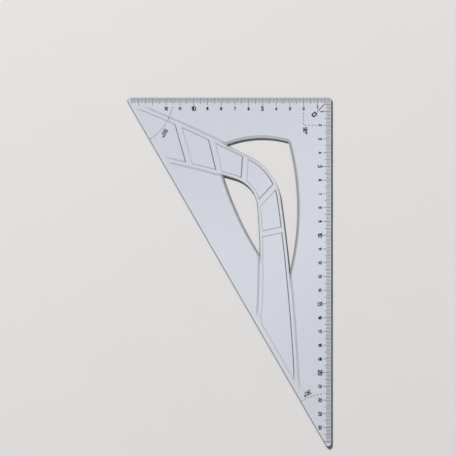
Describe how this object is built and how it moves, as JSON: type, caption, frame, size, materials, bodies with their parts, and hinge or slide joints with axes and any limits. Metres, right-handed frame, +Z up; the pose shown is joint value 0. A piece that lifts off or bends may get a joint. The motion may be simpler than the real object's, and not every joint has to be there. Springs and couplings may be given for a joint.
{
  "type": "drafting triangle",
  "caption": "Flat clear plastic 30-60-90 degree drafting triangle for ruling and measuring, with centimetre scales along its legs, a raised curved grip band with sunk cells, and windows.",
  "frame": {"origin": "zero corner of the scales, where the lines of the legs meet, on the underside that lies on the paper", "axes": "the short leg runs along -X, the long leg along -Y, and +Z points up, away from the paper"},
  "size_m": [0.1484, 0.2534, 0.0026],
  "materials": {
    "clear_plastic": "clear polystyrene with a faint blue-grey tint, glossy on both faces",
    "ink": "black ink pressed flush into the underside"
  },
  "bodies": {
    "root": {"plate": "clear_plastic", "short_leg_millimetre_marks": "ink", "short_leg_half_centimetre_marks": "ink", "short_leg_centimetre_marks": "ink", "long_leg_millimetre_marks": "ink", "long_leg_half_centimetre_marks": "ink", "long_leg_centimetre_marks": "ink", "zero_pointer": "ink", "right_angle_mark": "ink", "sixty_degree_arc": "ink", "thirty_degree_arc": "ink"}
  },
  "joints": []
}
